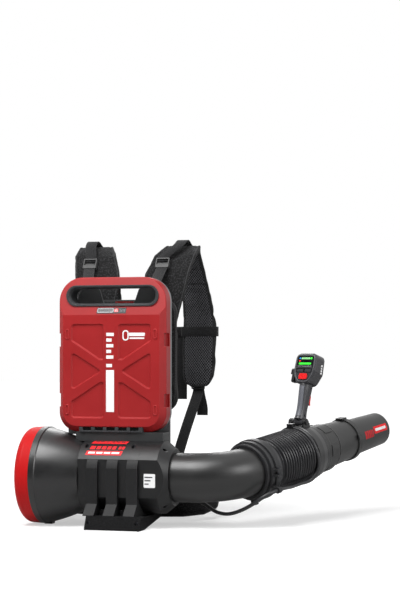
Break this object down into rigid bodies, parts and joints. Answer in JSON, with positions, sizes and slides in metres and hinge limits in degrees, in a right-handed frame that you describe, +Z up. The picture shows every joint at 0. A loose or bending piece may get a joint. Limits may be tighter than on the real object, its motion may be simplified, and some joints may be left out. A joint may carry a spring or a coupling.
{
  "type": "backpack leaf blower",
  "caption": "Battery backpack leaf blower: ducted fan with bell intake, elbow, ribbed hose, tapered tube and nozzle, tilting control handle, slide-out battery and padded harness.",
  "frame": {"origin": "on the ground under the fan axis, on the pack's centre line, on the foot's underside", "axes": "+X is the wearer's right and the way the air leaves the fan, +Y is the wearer's front and points into the harness, +Z is up"},
  "size_m": [0.702, 0.6259, 0.6179],
  "materials": {
    "red_plastic": "moulded red plastic with a soft sheen",
    "black_plastic": "moulded black plastic, fine texture",
    "duct_plastic": "smooth dark plastic inside the air path",
    "base_plastic": "moulded dark grey plastic",
    "tube_plastic": "matt black tube plastic",
    "clamp_plastic": "matt black clamp plastic",
    "hose_rubber": "ribbed black rubber",
    "frame_plastic": "matt charcoal frame plastic",
    "battery_red": "satin red battery shell",
    "battery_grey": "satin light grey battery shell",
    "liner_plastic": "matt dark plastic",
    "cell_aluminium": "cell block",
    "motor_aluminium": "plain aluminium",
    "bearing_steel": "ground steel",
    "screw_steel": "plated screws",
    "handle_plastic": "charcoal handle plastic",
    "grip_rubber": "grey soft grip",
    "key_rubber": "soft keys",
    "display_glass": "dark display lens",
    "red_gloss": "red control plastic",
    "cable_rubber": "smooth black cable jacket",
    "pad_fabric": "black air mesh over foam",
    "belt_fabric": "black mesh belt with bound edge",
    "webbing_fabric": "black woven webbing",
    "buckle_plastic": "black buckle plastic"
  },
  "bodies": {
    "pack_frame": {"intake_ring": "red_plastic", "intake_bell": "black_plastic", "intake_guard": "black_plastic", "fan_duct": "duct_plastic", "housing_front": "black_plastic", "housing_rear": "black_plastic", "outlet_housing": "black_plastic", "housing_screws": "screw_steel", "base_foot": "base_plastic", "cradle": "base_plastic", "elbow": "tube_plastic", "hose_clamp": "clamp_plastic", "hose_rear": "hose_rubber", "fan_bearings": "bearing_steel", "motor_can": "motor_aluminium", "motor_stator": "bearing_steel", "stator_vanes": "duct_plastic", "dock": "frame_plastic", "dock_connector": "frame_plastic", "back_frame": "frame_plastic", "controller_box": "motor_aluminium", "cable_lower": "cable_rubber", "cable_hose_rear": "cable_rubber", "back_pad": "pad_fabric", "shoulder_strap_right": "pad_fabric", "shoulder_strap_left": "pad_fabric", "hip_belt": "belt_fabric", "harness_webbing": "webbing_fabric", "ladder_locks": "buckle_plastic", "harness_buckles": "buckle_plastic"},
    "fan_rotor": {"impeller": "duct_plastic", "fan_shaft": "screw_steel", "motor_rotor": "bearing_steel"},
    "battery": {"battery_front_shell": "battery_red", "battery_rear_shell": "battery_grey", "battery_handle_liner": "liner_plastic", "battery_cells": "cell_aluminium", "battery_guard": "liner_plastic", "battery_gauge": "liner_plastic"},
    "gauge_button": {"gauge_button": "red_gloss"},
    "battery_latch": {"battery_latch": "red_gloss"},
    "hose_middle": {"hose_mid_band": "hose_rubber"},
    "air_tube": {"hose_front": "hose_rubber", "handle_collar": "tube_plastic", "blower_tube": "tube_plastic", "cable_hose_front": "cable_rubber", "cable_upper": "cable_rubber"},
    "coupling_ring": {"coupling_ring": "tube_plastic"},
    "nozzle": {"nozzle": "tube_plastic"},
    "handle": {"handle_left": "handle_plastic", "handle_right": "handle_plastic", "grip_overmould": "grip_rubber", "handle_knob": "black_plastic", "display_lens": "display_glass", "soft_keys": "key_rubber", "handle_screws": "screw_steel"},
    "trigger": {"trigger": "red_gloss"},
    "cruise_lever": {"cruise_lever": "black_plastic"},
    "power_button": {"power_button": "red_gloss"}
  },
  "joints": [
    {"name": "fan_spin", "type": "hinge", "parent": "pack_frame", "child": "fan_rotor", "pos_m": [0, 0, 0.105], "axis": [1, 0, 0], "continuous": true},
    {"name": "battery_slide", "type": "slide", "parent": "pack_frame", "child": "battery", "axis": [0, 0, 1], "range_m": [0, 0.34]},
    {"name": "gauge_press", "type": "slide", "parent": "battery", "child": "gauge_button", "axis": [0, 0.8619, -0.507], "range_m": [0, 0.001], "stiffness_N_per_m": 400, "springref_m": -0.001},
    {"name": "latch_pivot", "type": "hinge", "parent": "pack_frame", "child": "battery_latch", "pos_m": [0, 0.041, 0.446], "axis": [1, 0, 0], "range_deg": [-8, 0], "stiffness_Nm_per_rad": 0.4, "springref_deg": 5.73},
    {"name": "hose_yaw", "type": "hinge", "parent": "pack_frame", "child": "hose_middle", "pos_m": [0.31069, 0.13235, 0.12738], "axis": [-0.0627, -0.1389, 0.9883], "range_deg": [-15, 15], "deforming": ["hose_rear", "cable_hose_rear"]},
    {"name": "hose_pitch", "type": "hinge", "parent": "hose_middle", "child": "air_tube", "pos_m": [0.33469, 0.18549, 0.13637], "axis": [0.9114, -0.4115, 0], "range_deg": [-12, 12], "deforming": ["hose_front", "cable_hose_front"]},
    {"name": "coupling_twist", "type": "hinge", "parent": "air_tube", "child": "coupling_ring", "pos_m": [0.3778, 0.28097, 0.15252], "axis": [0.4067, 0.9008, 0.1524], "range_deg": [0, 30]},
    {"name": "nozzle_twist", "type": "hinge", "parent": "air_tube", "child": "nozzle", "pos_m": [0.42295, 0.38095, 0.16943], "axis": [0.4067, 0.9008, 0.1524], "range_deg": [0, 20]},
    {"name": "handle_tilt", "type": "hinge", "parent": "air_tube", "child": "handle", "pos_m": [0.3543, 0.22892, 0.21455], "axis": [0.9114, -0.4115, 0], "range_deg": [-20, 15]},
    {"name": "trigger_pull", "type": "hinge", "parent": "handle", "child": "trigger", "pos_m": [0.36639, 0.2557, 0.27894], "axis": [-0.9114, 0.4115, 0], "range_deg": [0, 14], "stiffness_Nm_per_rad": 0.15, "springref_deg": -5.73},
    {"name": "cruise_turn", "type": "hinge", "parent": "handle", "child": "cruise_lever", "pos_m": [0.33533, 0.27196, 0.32413], "axis": [-0.9114, 0.4115, 0], "range_deg": [0, 35]},
    {"name": "power_press", "type": "slide", "parent": "handle", "child": "power_button", "axis": [0.3956, 0.8761, -0.2756], "range_m": [0, 0.0015], "stiffness_N_per_m": 400, "springref_m": -0.001}
  ]
}
